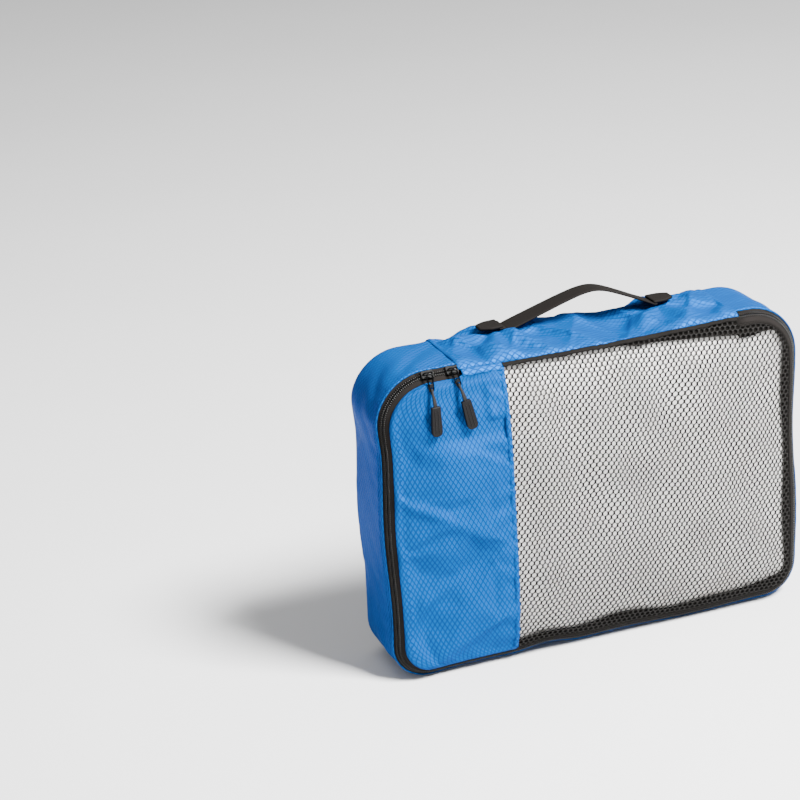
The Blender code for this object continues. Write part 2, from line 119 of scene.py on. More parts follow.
class Look:
    """A Principled material whose inputs are wired up by short calls."""

    def __init__(self, name, roughness=0.6, metallic=0.0, specular=0.5):
        self.material = bpy.data.materials.new(name)
        self.material.use_nodes = True
        self.nodes = self.material.node_tree.nodes
        self.links = self.material.node_tree.links
        self.shader = self.nodes["Principled BSDF"]
        self.shader.inputs["Roughness"].default_value = roughness
        self.shader.inputs["Metallic"].default_value = metallic
        self.shader.inputs["Specular IOR Level"].default_value = specular

    def feed(self, socket, value):
        if isinstance(value, bpy.types.NodeSocket):
            self.links.new(value, socket)
        else:
            socket.default_value = value

    def math(self, operation, first, second=0.0, clamp=False):
        node = self.nodes.new("ShaderNodeMath")
        node.operation = operation
        node.use_clamp = clamp
        self.feed(node.inputs[0], first)
        self.feed(node.inputs[1], second)
        return node.outputs[0]

    def cloth(self):
        """u and v of the cloth, in millimetres along and across the piece."""
        node = self.nodes.new("ShaderNodeAttribute")
        node.attribute_name = "cloth"
        split = self.nodes.new("ShaderNodeSeparateXYZ")
        self.links.new(node.outputs["Vector"], split.inputs[0])
        return split.outputs[0], split.outputs[1]

    def noise(self, scale, detail=3.0):
        place = self.nodes.new("ShaderNodeTexCoord")
        node = self.nodes.new("ShaderNodeTexNoise")
        node.inputs["Scale"].default_value = scale
        node.inputs["Detail"].default_value = detail
        self.links.new(place.outputs["Object"], node.inputs["Vector"])
        return node.outputs["Fac"]

    def ridge(self, value, period, width):
        """1 on thin lines a period apart, falling to 0 over their width."""
        cycle = self.math("PINGPONG", value, period / 2)
        return self.math("SUBTRACT", 1.0, self.math("DIVIDE", cycle, width, clamp=True), clamp=True)

    def wave(self, value, period):
        """A smooth wave from 0 to 1."""
        turned = self.math("SINE", self.math("MULTIPLY", value, 2 * math.pi / period))
        return self.math("MULTIPLY", self.math("ADD", turned, 1.0), 0.5)

    def mix(self, factor, first, second):
        node = self.nodes.new("ShaderNodeMix")
        node.data_type = "RGBA"
        self.feed(node.inputs["Factor"], factor)
        self.feed(node.inputs["A"], first if not isinstance(first, tuple) else (*first, 1))
        self.feed(node.inputs["B"], second if not isinstance(second, tuple) else (*second, 1))
        return node.outputs["Result"]

    def colour(self, value):
        self.feed(self.shader.inputs["Base Color"], value if not isinstance(value, tuple) else (*value, 1))

    def rough(self, value):
        self.feed(self.shader.inputs["Roughness"], value)

    def bump(self, height, strength, distance):
        node = self.nodes.new("ShaderNodeBump")
        node.inputs["Strength"].default_value = strength
        node.inputs["Distance"].default_value = distance
        self.feed(node.inputs["Height"], height)
        self.links.new(node.outputs["Normal"], self.shader.inputs["Normal"])


def ripstop_look():
    """Glossy nylon with a diamond grid of heavier threads, longer along the piece than across it."""
    look = Look("ripstop", metallic=0.32, specular=0.012)
    look.shader.inputs["Specular Tint"].default_value = (0.03, 0.28, 0.85, 1)
    u, v = look.cloth()
    along = look.math("DIVIDE", u, 3.2)
    across = look.math("DIVIDE", v, 1.95)
    rising = look.ridge(look.math("ADD", across, along), 2.0, 0.30)
    falling = look.ridge(look.math("SUBTRACT", across, along), 2.0, 0.30)
    grid = look.math("MAXIMUM", rising, falling)
    weave = look.math("MULTIPLY", look.wave(u, 0.42), look.wave(v, 0.42))
    blotch = look.noise(26, 4)
    base = look.mix(blotch, (0.0018, 0.052, 0.200), (0.0026, 0.074, 0.275))
    cell = look.mix(look.math("MULTIPLY", weave, 0.3), base, (0.0010, 0.032, 0.140))
    # painted shade: the heavier threads are the cells' colour, and are painted darker to stand in for how
    # they look dark where the cloth is lit; their raised bump and lower roughness are real
    look.colour(look.mix(look.math("MULTIPLY", grid, 0.9), cell, (0.0003, 0.012, 0.075)))
    look.rough(look.math("SUBTRACT", 0.40, look.math("MULTIPLY", grid, 0.08)))
    height = look.math("ADD", grid, look.math("MULTIPLY", weave, 0.3))
    look.bump(height, 0.55, 0.0004)
    return look.material


def woven_look(name, dark, light, period):
    """Tape or binding with a herringbone of fine ribs."""
    look = Look(name, roughness=0.85, specular=0.05)
    u, v = look.cloth()
    zig = look.math("PINGPONG", v, period * 2.2)
    ribs = look.wave(look.math("ADD", u, look.math("MULTIPLY", zig, 0.9)), period)
    wear = look.noise(60, 5)
    tone = look.mix(wear, dark, light)
    look.colour(look.mix(look.math("MULTIPLY", ribs, 0.5), tone, light))
    look.bump(ribs, 0.7, 0.0003)
    return look.material


def webbing_look():
    """Flat webbing: fine ribs across its width and cords along it."""
    look = Look("webbing", roughness=0.7, specular=0.06)
    u, v = look.cloth()
    ribs = look.wave(u, 0.75)
    cords = look.wave(v, 1.5)
    weave = look.math("MULTIPLY", ribs, look.math("ADD", 0.5, look.math("MULTIPLY", cords, 0.5)))
    look.colour(look.mix(weave, (0.0034, 0.0028, 0.0025), (0.0080, 0.0068, 0.0060)))
    look.bump(weave, 0.5, 0.0003)
    return look.material


def plain_look(name, dark, light, roughness, scale, metallic=0.0, strength=0.25, depth=0.0002,
               specular=0.5):
    """A moulded, cast or spun surface: small changes of tone, and fine grain."""
    look = Look(name, roughness, metallic, specular)
    grain = look.noise(scale * 12, 3)
    tone = look.noise(scale, 4)
    look.colour(look.mix(tone, dark, light))
    spread = look.math("MULTIPLY", look.math("SUBTRACT", tone, 0.5), 0.25)
    look.rough(look.math("ADD", roughness, spread, clamp=True))
    look.bump(grain, strength, depth)
    return look.material


def lining_look():
    """Pale matt cloth with soft creases and faint warm darker patches at random."""
    look = Look("lining", roughness=0.9, specular=0.2)
    # faint warm, darker patches where a coarse noise runs high, mixed at 40% into the pale tone
    patch = look.math("SUBTRACT", look.noise(14, 5), 0.58, clamp=True)
    warm_patches = look.math("MULTIPLY", patch, 5.0, clamp=True)
    shade = look.mix(look.noise(40, 4), (0.80, 0.775, 0.745), (0.88, 0.86, 0.835))
    look.colour(look.mix(look.math("MULTIPLY", warm_patches, 0.4), shade, (0.62, 0.50, 0.44)))
    look.bump(look.noise(70, 6), 0.35, 0.0015)
    return look.material


def make_looks():
    return {
        "ripstop": ripstop_look(),
        "tape": woven_look("tape", (0.0048, 0.0040, 0.0036), (0.0110, 0.0095, 0.0088), 0.9),
        "binding": woven_look("binding", (0.0030, 0.0026, 0.0023), (0.0075, 0.0066, 0.0060), 1.2),
        "webbing": webbing_look(),
        "mesh": plain_look("mesh", (0.0035, 0.0031, 0.0028), (0.0095, 0.0086, 0.0078), 0.6, 300,
                           specular=0.15),
        "coil": plain_look("coil", (0.004, 0.004, 0.0037), (0.009, 0.0085, 0.008), 0.32, 200, specular=0.22),
        "metal": plain_look("metal", (0.0015, 0.0015, 0.0015), (0.0035, 0.0035, 0.0035), 0.38, 180,
                            specular=0.03),
        "steel": plain_look("steel", (0.006, 0.006, 0.0062), (0.016, 0.016, 0.0165), 0.22, 180, metallic=1.0),
        "cord": plain_look("cord", (0.004, 0.0036, 0.0033), (0.010, 0.0094, 0.0088), 0.6, 400, strength=0.6,
                           depth=0.0005, specular=0.15),
        "rubber": plain_look("rubber", (0.0034, 0.0032, 0.0034), (0.0060, 0.0056, 0.0058), 0.5, 90,
                             specular=0.08),
        "lining": lining_look(),
        "blue_thread": plain_look("blue_thread", (0.0006, 0.026, 0.12), (0.001, 0.042, 0.18), 0.6, 500,
                                  specular=0.02),
        "black_thread": plain_look("black_thread", (0.004, 0.004, 0.004), (0.014, 0.013, 0.012), 0.5, 500,
                                   specular=0.2),
    }


LOOKS = make_looks()


# ---------- mesh helpers ----------

def add_piece(name, points, faces, look, body, cloth=None):
    """Makes a mesh piece from points and faces, in the frame's metres, riding on a body."""
    mesh = bpy.data.meshes.new(name)
    mesh.from_pydata([tuple(map(float, point)) for point in points], [], faces)
    mesh.validate()
    if cloth is not None:
        layer = mesh.attributes.new("cloth", "FLOAT_VECTOR", "POINT")
        flat = np.zeros((len(points), 3), np.float32)
        flat[:, :2] = cloth
        layer.data.foreach_set("vector", flat.ravel())
    mesh.shade_smooth()
    piece = bpy.data.objects.new(name, mesh)
    bpy.context.scene.collection.objects.link(piece)
    mesh.materials.append(LOOKS[look])
    if body:
        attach(piece, body)
    return piece


def weld(piece, distance):
    """Joins a mesh's points that lie together, so that its strands are one net."""
    shape = bmesh.new()
    shape.from_mesh(piece.data)
    bmesh.ops.remove_doubles(shape, verts=shape.verts, dist=distance)
    shape.to_mesh(piece.data)
    shape.free()


def grid_faces(rows, columns, wrap=False):
    """Quads of a grid of points, row after row; wrap joins each row's end to its start."""
    across = columns if wrap else columns - 1
    return [(r * columns + c, r * columns + (c + 1) % columns,
             (r + 1) * columns + (c + 1) % columns, (r + 1) * columns + c)
            for r in range(rows - 1) for c in range(across)]


def lengths(points):
    """Running length along a line of points, in millimetres."""
    steps = np.linalg.norm(np.diff(points, axis=0), axis=1)
    return np.concatenate([[0], np.cumsum(steps)]) * 1000


def cloth_grid(points):
    """u along the middle column and v along the middle row, for the weave."""
    rows, columns = points.shape[:2]
    along = lengths(points[:, columns // 2])
    across = lengths(points[rows // 2])
    return np.stack(np.meshgrid(along, across, indexing="ij"), axis=-1)


def subdivide(piece, levels):
    smooth = piece.modifiers.new("rounding", "SUBSURF")
    smooth.levels = smooth.render_levels = levels


def thicken(piece, thickness, levels):
    """Gives cloth its thickness, and rounds it by subdivision."""
    solid = piece.modifiers.new("thickness", "SOLIDIFY")
    solid.thickness = thickness
    solid.offset = -1
    if levels:
        subdivide(piece, levels)
    return piece


def sheet_grid(name, points, look, body, thickness=CLOTH_THICK, levels=0, flip=False):
    """A cloth piece from a rows x columns grid of points."""
    rows, columns = points.shape[:2]
    faces = grid_faces(rows, columns)
    if flip:
        faces = [face[::-1] for face in faces]
    piece = add_piece(name, points.reshape(-1, 3), faces, look, body, cloth_grid(points).reshape(-1, 2))
    return thicken(piece, thickness, levels)


def tube(name, path, radius, look, body, closed=False, sides=8):
    """A round bar along a path, with rounded ends."""
    path = np.array(path, float)
    count = len(path)
    ahead = np.roll(path, -1, 0) - np.roll(path, 1, 0)
    if not closed:
        ahead[0], ahead[-1] = path[1] - path[0], path[-1] - path[-2]
    ahead /= np.linalg.norm(ahead, axis=1)[:, None]
    side = np.cross(ahead[0], (0.3, 0.9, 0.31))
    rings = []
    for here, forward in zip(path, ahead):
        side = side - forward * side.dot(forward)
        side /= np.linalg.norm(side)
        other = np.cross(forward, side)
        rings.append([here + radius * (side * math.cos(t) + other * math.sin(t))
                      for t in np.arange(sides) * 2 * math.pi / sides])
    points = [point for ring in rings for point in ring]
    faces = grid_faces(count, sides, wrap=True)
    if closed:
        last = (count - 1) * sides
        faces += [(last + k, last + (k + 1) % sides, (k + 1) % sides, k) for k in range(sides)]
    else:
        points += [path[0] - ahead[0] * radius * 0.5, path[-1] + ahead[-1] * radius * 0.5]
        first_tip, last_tip, last = len(points) - 2, len(points) - 1, (count - 1) * sides
        faces += [(first_tip, (k + 1) % sides, k) for k in range(sides)]
        faces += [(last_tip, last + k, last + (k + 1) % sides) for k in range(sides)]
    around = np.tile(np.arange(sides) * 2 * math.pi * radius * 1000 / sides, count)
    cloth = np.zeros((len(points), 2))
    cloth[:count * sides, 0] = np.repeat(lengths(path), sides)
    cloth[:count * sides, 1] = around
    return add_piece(name, points, faces, look, body, cloth)


def stitch_row(path, pitch=0.0031, filled=0.72, radius=0.00022):
    """Points and faces of a run of stitches lying along a path."""
    path = np.array(path, float)
    along = lengths(path) / 1000
    points, faces = [], []
    for start in np.arange(pitch * 0.5, along[-1] - pitch, pitch):
        first, last = (np.array([np.interp(s, along, path[:, k]) for k in range(3)])
                       for s in (start, start + pitch * filled))
        forward = (last - first) / np.linalg.norm(last - first)
        side = np.cross(forward, (0.21, -0.8, 0.57))
        side /= np.linalg.norm(side)
        other = np.cross(side, forward)
        base = len(points)
        points += [first, last]
        for middle in (first * 0.75 + last * 0.25, first * 0.25 + last * 0.75):
            points += [middle + radius * (side * math.cos(t) + other * math.sin(t))
                       for t in np.arange(4) * QUARTER + 0.4]
        a, b = base + 2, base + 6
        for k in range(4):
            n = (k + 1) % 4
            faces += [(base, a + n, a + k), (a + k, a + n, b + n, b + k), (base + 1, b + k, b + n)]
    return points, faces


def add_stitches(name, paths, look, body, **sizes):
    """One piece holding several rows of stitches."""
    points, faces = [], []
    for path in paths:
        more, shapes = stitch_row(path, **sizes)
        faces += [tuple(k + len(points) for k in face) for face in shapes]
        points += more
    return add_piece(name, points, faces, look, body)


# ---------- the rim ----------

def corner(side_x, side_z, radius, first_turn, last_turn, steps=16):
    """Stations round one corner of the rim, between two turns."""
    centre_x = side_x * (HALF - radius)
    centre_z = HEIGHT / 2 + side_z * (HEIGHT / 2 - radius)
    turns = np.linspace(first_turn, last_turn, steps + 1)
    return [(centre_x + radius * math.cos(t), centre_z + radius * math.sin(t), math.cos(t), math.sin(t))
            for t in turns]


TOP_LEFT = corner(-1, 1, CORNER_TOP, QUARTER, 2 * QUARTER)
BOTTOM_LEFT = corner(-1, -1, CORNER_BOTTOM, 2 * QUARTER, 3 * QUARTER)
BOTTOM_RIGHT = corner(1, -1, CORNER_BOTTOM, 3 * QUARTER, 4 * QUARTER)
TOP_RIGHT = corner(1, 1, CORNER_TOP, 0, QUARTER)


def rim(stations, step=STEP):
    """Stations (x, z, normal x, normal z) of part of the rim, filled in along its straight runs."""
    filled = [stations[0]]
    for here, following in zip(stations, stations[1:]):
        gap = math.hypot(following[0] - here[0], following[1] - here[1])
        extra = int(gap / step) if here[2:] == following[2:] or gap > 0.02 else 0
        for k in range(1, extra + 1):
            share = k / (extra + 1)
            filled.append((here[0] + (following[0] - here[0]) * share,
                           here[1] + (following[1] - here[1]) * share, *here[2:]))
        filled.append(following)
    return np.array(filled)


def top_station(x):
    return x, HEIGHT, 0.0, 1.0


def bottom_station(x):
    return x, 0.0, 0.0, -1.0


ROUND = TOP_LEFT + BOTTOM_LEFT + BOTTOM_RIGHT + TOP_RIGHT
ZIP_RUN = [top_station(HINGE_LEFT)] + ROUND + [top_station(HINGE_RIGHT)]
CLOSED_END_TURN = QUARTER + CLOSED_END_ANGLE
PAST_CLOSED_END = corner(-1, 1, CORNER_TOP, CLOSED_END_TURN, 2 * QUARTER, 13)
CLOSED_END = [top_station(HINGE_LEFT - 0.0003)] + corner(-1, 1, CORNER_TOP, QUARTER, CLOSED_END_TURN, 3)
TRAY_RUN = PAST_CLOSED_END + BOTTOM_LEFT + BOTTOM_RIGHT + TOP_RIGHT + [top_station(HINGE_RIGHT)]


def grid_of(x, y, z):
    """Rows x columns x 3 grid of points from its coordinates, each given down rows or along columns."""
    return np.stack(np.broadcast_arrays(x, y, z), axis=-1)


def settle(points):
    """How the filled cube gives: its base arches up in places and its top droops in the middle."""
    points = np.array(points, float)
    x, y, z = points[..., 0], points[..., 1], points[..., 2]
    low = np.clip(1 - z / 0.055, 0, 1) ** 2
    front = np.clip((Y_BACK - y) / (Y_BACK - Y_FACE), 0, 1)
    arch = 0.0046 * np.exp(-((x + 0.046) / 0.021) ** 2) + 0.0009 * (1 + np.sin(x * 52 + 0.6))
    lift = low * arch * (0.35 + 0.65 * front)
    high = np.clip(1 - (HEIGHT - z) / 0.05, 0, 1) ** 2
    droop = HINGE_SAG * np.clip(1 - (x / 0.105) ** 2, 0, 1) * high * np.clip(1 - (y - Y_FACE) / 0.03, 0, 1)
    sides = np.clip((np.abs(x) - 0.12) / 0.055, 0, 1) ** 2
    pull = 0.0011 * sides * (1 + np.sin(z * 47 + np.sign(x) * 1.1)) * np.clip(z / 0.03, 0, 1)
    pull = pull * np.clip((HEIGHT - 0.03 - z) / 0.03, 0, 1)
    moved = points.copy()
    moved[..., 0] = x - np.sign(x) * pull
    moved[..., 2] = z + lift - droop
    return moved


def along_rim(stations, profile):
    """Grid of points: a profile of (inset, y) carried along stations of the rim, settled."""
    stations = np.asarray(stations)
    inset = np.array([p[0] for p in profile])
    grid = np.zeros((len(stations), len(profile), 3))
    grid[..., 0] = stations[:, None, 0] - stations[:, None, 2] * inset
    grid[..., 1] = [p[1] for p in profile]
    grid[..., 2] = stations[:, None, 1] - stations[:, None, 3] * inset
    return settle(grid)


# ---------- cloth simulation ----------

def relax(name, points, pinned, pressure, grow, frames=20, bending=0.06):
    """Lets a grid of cloth that is a little too large buckle under pressure. Pinned points stay."""
    rows, columns = points.shape[:2]
    mesh = bpy.data.meshes.new(name)
    mesh.from_pydata([tuple(map(float, p)) for p in points.reshape(-1, 3)], [], grid_faces(rows, columns))
    trial = bpy.data.objects.new(name, mesh)
    bpy.context.scene.collection.objects.link(trial)
    pins = trial.vertex_groups.new(name="pins")
    pins.add([int(k) for k in np.flatnonzero(pinned.reshape(-1))], 1.0, "REPLACE")
    cloth = trial.modifiers.new("Cloth", "CLOTH")
    settings = cloth.settings
    settings.quality = 7
    settings.mass = 0.08
    settings.tension_stiffness = 18
    settings.compression_stiffness = 12
    settings.shear_stiffness = 6
    settings.bending_stiffness = bending
    settings.air_damping = 2.0
    settings.use_pressure = True
    settings.uniform_pressure_force = pressure
    settings.shrink_min = -grow
    settings.effector_weights.gravity = 0
    settings.vertex_group_mass = "pins"
    cloth.point_cache.frame_start = 1
    cloth.point_cache.frame_end = frames
    scene = bpy.context.scene
    for step in range(1, frames + 1):
        scene.frame_set(step)
    shape = trial.evaluated_get(bpy.context.evaluated_depsgraph_get()).data
    moved = np.zeros(rows * columns * 3, np.float32)
    shape.vertices.foreach_get("co", moved)
    bpy.data.objects.remove(trial, do_unlink=True)
    bpy.data.meshes.remove(mesh)
    scene.frame_set(1)
    return moved.reshape(points.shape).astype(float)


def capped(before, after, reach):
    """Moves from before to after, no further than reach."""
    move = after - before
    size = np.linalg.norm(move, axis=-1, keepdims=True)
    return before + move * np.minimum(1, reach / np.maximum(size, 1e-9))


def ripple(u, v, seed, waves=7, shortest=0.03, longest=0.09):
    """Smooth noise from -1 to 1 in two lengths in metres."""
    draw = np.random.default_rng(seed)
    total = np.zeros(np.broadcast(u, v).shape)
    for _ in range(waves):
        heading = draw.uniform(0, 2 * math.pi)
        length = draw.uniform(shortest, longest)
        phase = draw.uniform(0, 6)
        total += np.sin((u * math.cos(heading) + v * math.sin(heading)) * 2 * math.pi / length + phase)
    return total / math.sqrt(waves) / 1.6


def edge_fade(rows, columns, reach_rows, reach_columns):
    """0 on a grid's border, rising to 1 over the given numbers of rows and columns."""
    r = np.minimum(np.arange(rows), np.arange(rows)[::-1]) / reach_rows
    c = np.minimum(np.arange(columns), np.arange(columns)[::-1]) / reach_columns
    return np.clip(r, 0, 1)[:, None] ** 0.8 * np.clip(c, 0, 1)[None, :] ** 0.8


def grid_normals(points):
    """Unit normals of a grid, by differences."""
    normal = np.cross(np.gradient(points, axis=0), np.gradient(points, axis=1))
    return normal / np.maximum(np.linalg.norm(normal, axis=-1, keepdims=True), 1e-12)


def fold(x, y, length, heading, phase):
    """Sharp-crested waves from -1 to 1, a length apart, that follow each other along a heading."""
    turn = (x * math.cos(heading) + y * math.sin(heading)) * math.pi / length + phase
    return 1 - 2 * np.abs(np.sin(turn)) ** 0.8


def border(rows, columns):
    pinned = np.zeros((rows, columns), bool)
    pinned[0], pinned[-1], pinned[:, 0], pinned[:, -1] = True, True, True, True
    return pinned


# ---------- tray ----------

def back_curve():
    return [(BACK_EDGE * (1 - math.cos(t)), Y_BACK - BACK_EDGE + BACK_EDGE * math.sin(t))
            for t in np.linspace(0, QUARTER, 6)]


def wall_profile():
    """(inset, y) from the edge folded over the zip's tape, back to the back panel's seam."""
    edge = BAND / math.sqrt(2) + ZIP_SHIFT
    lap = [zip_point(-edge + 0.0026, 0.0013), zip_point(-edge + 0.0011, 0.0017)]
    depth = Y_BACK - BACK_EDGE - Y_WALL
    return lap + [(0.0, Y_WALL + depth * k / 17) for k in range(17)] + back_curve()


def puffed(name, points, outward, amount, seed, pressure, grow, reach, pinned=None, bending=0.06):
    """Crowned, buckled cloth over a grid whose border stays put."""
    rows, columns = points.shape[:2]
    fade = edge_fade(rows, columns, 7, 5)
    normals = grid_normals(points) * outward
    u, v = (cloth_grid(points) / 1000).transpose(2, 0, 1)
    swell = amount * fade * (0.8 + 0.3 * ripple(u, v, seed))
    shaped = points + normals * swell[..., None]
    pinned = border(rows, columns) if pinned is None else pinned
    return capped(points, relax(name, shaped, pinned, pressure, grow, bending=bending), reach)


def make_gusset():
    points = along_rim(rim(ZIP_RUN, 0.004), wall_profile())
    rows, columns = points.shape[:2]
    near_zip = np.exp(-((points[..., 1] - Y_WALL - 0.008) / 0.007) ** 2) * edge_fade(rows, columns, 8, 2)
    u = cloth_grid(points)[..., 0] / 1000
    puckers = np.sin(u * 2 * math.pi / 0.013 + 2.5 * np.sin(u * 31)) * (0.4 + 0.6 * np.sin(u * 17) ** 2)
    creased = np.exp(-((points[..., 1] - Y_WALL - 0.018) / 0.013) ** 2) * edge_fade(rows, columns, 8, 5)
    creases = fold(u, points[..., 1], 0.024, 0.75, 0.4) * (0.55 + 0.45 * np.sin(u * 23 + 1.0))
    relief = 0.0005 * near_zip * puckers + 0.0011 * creased * creases
    points = points + grid_normals(points) * relief[..., None]
    shaped = puffed("gusset_trial", points, 1, 0.0006, 3, 0.4, 0.006, 0.0007)
    shaped[..., 2] = np.maximum(shaped[..., 2], 0.0002)
    piece = sheet_grid("gusset_cloth", shaped, "ripstop", "tray", levels=1)
    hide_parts("gusset_wall")
    seam = (shaped[:, 2] + shaped[:, 3]) / 2
    outward = np.stack([seam[:, 0], np.zeros(len(seam)), seam[:, 2] - HEIGHT / 2], axis=-1)
    outward /= np.linalg.norm(outward, axis=1)[:, None]
    add_stitches("gusset_stitches", [seam + outward * STITCH_LIFT], "blue_thread", "tray")


def hinge_profile():
    """(y, z) from the hinge seam over the top to the back panel."""
    front = [(PIVOT[1] + 0.0004, PIVOT[2] - 0.0007), (PIVOT[1] + 0.0016, PIVOT[2] + 0.0010),
             (PIVOT[1] + 0.0042, HEIGHT - 0.0006)]
    flat = Y_BACK - BACK_EDGE - Y_WALL
    top = [(Y_WALL + flat * k / 23, HEIGHT) for k in range(23)]
    return front + top + [(y, HEIGHT - inset) for inset, y in back_curve()]


def make_hinge_panel():
    """The top panel, puckered by the handle and lapped over the gusset's ends."""
    profile = hinge_profile()
    lap = HINGE_LAP
    between = np.linspace(HINGE_LEFT, HINGE_RIGHT, 111)
    xs = np.concatenate([[HINGE_LEFT - lap, HINGE_LEFT - lap * 0.7], between,
                         [HINGE_RIGHT + lap * 0.7, HINGE_RIGHT + lap]])
    points = settle(grid_of(xs[:, None], [p[0] for p in profile], [p[1] for p in profile]))
    x, y = points[..., 0], points[..., 1]
    inner = edge_fade(len(xs), len(profile), 9, 5)
    dip = -0.0050 * np.exp(-((x - 0.036) / 0.020) ** 2) + 0.0024 * np.exp(-((x + 0.06) / 0.04) ** 2)
    patchy = 0.5 + 0.5 * ripple(x, y, 77, 5, 0.05, 0.12)
    folds = (0.0027 * fold(x, y, 0.030, 0.6, 0.9) * patchy
             + 0.0021 * fold(x, y, 0.043, -0.5, 0.2) * (1.2 - patchy))
    tug = 0.0
    for side in (-1, 1):
        root = HANDLE_PIVOT[0] + side * 0.068
        away = np.hypot((x - root) / 0.016, (y - HANDLE_PIVOT[1]) / 0.018)
        tug = tug + 0.0022 * np.exp(-away ** 2)
        spread = np.arctan2(y - HANDLE_PIVOT[1], x - root)
        folds = folds + 0.0026 * np.cos(spread * 6 + side) * np.exp(-((away - 1.7) / 1.1) ** 2)
    points[..., 2] += inner * (dip + folds) + tug
    beyond = np.abs(x - (HINGE_LEFT + HINGE_RIGHT) / 2) - (HINGE_RIGHT - HINGE_LEFT) / 2
    lapped = np.clip(beyond / 0.002 + 1, 0, 1)
    points += grid_normals(points) * (0.0007 * lapped * (1 - np.clip(beyond / lap, 0, 1)))[..., None]
    pinned = border(*points.shape[:2]) | (tug > 0.0019) | (lapped > 0.5)
    shaped = puffed("hinge_trial", points, 1, 0.0006, 11, 0.6, 0.035, 0.005, pinned, bending=0.08)
    piece = sheet_grid("hinge_panel_cloth", shaped, "ripstop", "tray", levels=1)
    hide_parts("hinge_panel")
    lift = np.array([0, 0, STITCH_LIFT])
    rows = [shaped[k] + lift for k in (2, 4, -5, -3)]
    add_stitches("hinge_end_stitches", rows, "blue_thread", "tray")
    add_stitches("hinge_front_stitches", [shaped[:, 3] + lift], "blue_thread", "tray")
    return shaped


def height_on(panel, x, y):
    """Height of a cloth grid at the point nearest to x and y."""
    nearest = np.argmin((panel[..., 0] - x) ** 2 + (panel[..., 1] - y) ** 2)
    return panel[..., 2].reshape(-1)[nearest]


def make_back_panel():
    inset = BACK_EDGE - 0.002
    heights = np.array(panel_heights(inset))[:, None]
    points = grid_of(half_width_of(heights, inset) * np.linspace(-1, 1, 71), Y_BACK, heights)
    x, z = points[..., 0], points[..., 2]
    from_edge = np.minimum(half_width_of(z, inset) - np.abs(x), np.minimum(z, HEIGHT - z) - inset)
    points[..., 1] -= 0.0014 * np.clip(1 - from_edge / 0.005, 0, 1)
    points = settle(points)
    shaped = puffed("back_trial", points, 1, 0.003, 21, 0.8, 0.02, 0.006, from_edge < 0.004)
    shaped[..., 1] = np.maximum(shaped[..., 1], points[..., 1] - 0.0012)
    piece = sheet_grid("back_panel_cloth", shaped, "ripstop", "tray", levels=1)
    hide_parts("back_panel")


def half_width(z, inset):
    """Half the rim's width at a height, for an outline set in from the cube's."""
    for radius, depth in ((CORNER_BOTTOM, z), (CORNER_TOP, HEIGHT - z)):
        if depth < radius:
            return HALF - radius + math.sqrt(max(0, (radius - inset) ** 2 - (radius - depth) ** 2))
    return HALF - inset


def half_width_of(z, inset):
    """half_width for an array of heights."""
    return np.array([half_width(h, inset) for h in z.reshape(-1)]).reshape(z.shape)


def corner_heights(inset):
    """Heights up a panel's bottom corners, closer together where the outline turns fast."""
    return [CORNER_BOTTOM - (CORNER_BOTTOM - inset) * math.cos(QUARTER * k / 8) for k in range(8)]


def panel_heights(inset):
    """Heights from a panel's bottom edge to its top one, closer together in the corners."""
    high = [HEIGHT - CORNER_TOP + (CORNER_TOP - inset) * math.sin(QUARTER * k / 9) for k in range(1, 10)]
    middle = np.linspace(CORNER_BOTTOM, HEIGHT - CORNER_TOP, int((HEIGHT - 0.07) / STEP))
    return corner_heights(inset) + list(middle) + high


# ---------- zip ----------

def make_tape(name, nodes, stations, near, far, body):
    """A strip of zip tape between two places across the zip, with a seam line of stitches."""
    places = np.linspace(near, far, 7)
    points = along_rim(stations, [zip_point(place, 0.0) for place in places])
    points = points + np.array([0, -1, 0]) * (0.0002 * np.sin(np.linspace(0, math.pi, 7)))[None, :, None]
    piece = sheet_grid(name, points, "tape", body, TAPE_THICK, flip=near > far)
    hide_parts(*nodes)
    seam = along_rim(stations, [zip_point(near + (far - near) * 0.8, 0.0003)])[:, 0]
    stitches = add_stitches(name + "_stitches", [seam], "black_thread", body, pitch=0.0027)
    return piece, stitches


def coil_turn(here, forward, across, out, side):
    """One turn of the coil: a bar across the zip with a rounded hook at its head."""
    width, tall = 0.00050, 0.00075
    stops = ((0.0002, 0.55), (0.0005, 0.95), (0.0011, 1.0), (0.0018, 0.9), (0.0023, 0.45))
    return [here + across * side * reach + out * (0.00085 + 0.0001 * size)
            + size * (forward * width * math.cos(t) + out * tall * math.sin(t))
            for reach, size in stops for t in np.arange(6) * math.pi / 3]


def make_coil(name, nodes, stations, side, body):
    """Interlocking turns of nylon coil along one edge of the zip."""
    base = along_rim(stations, [zip_point(0, 0)])[:, 0]
    tip = along_rim(stations, [zip_point(0.003, 0)])[:, 0]
    along = lengths(base) / 1000
    places = np.arange(COIL_PITCH * (0.5 if side < 0 else 1.0), along[-1], COIL_PITCH)
    base_at, tip_at, next_at = (
        np.stack([np.interp(shift, along, line[:, k]) for k in range(3)], axis=-1)
        for shift, line in ((places, base), (places, tip), (places + 0.0004, base)))
    points, faces = [], []
    ring = [(a, b, c, d) for a, b, c, d in grid_faces(5, 6, wrap=True)]
    caps = [tuple(range(6))[::-1], tuple(range(24, 30))]
    for here, toward, ahead in zip(base_at, tip_at, next_at):
        across = (toward - here) / np.linalg.norm(toward - here)
        forward = ahead - here
        if np.linalg.norm(forward) < 1e-7:
            continue
        forward /= np.linalg.norm(forward)
        out = np.cross(forward, across)
        if out[1] > 0:
            out = -out
        shift = len(points)
        points += coil_turn(here, forward, across, out, side)
        faces += [tuple(k + shift for k in face) for face in ring + caps]
    piece = add_piece(name, points, faces, "coil", body)
    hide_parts(*nodes)
    return piece


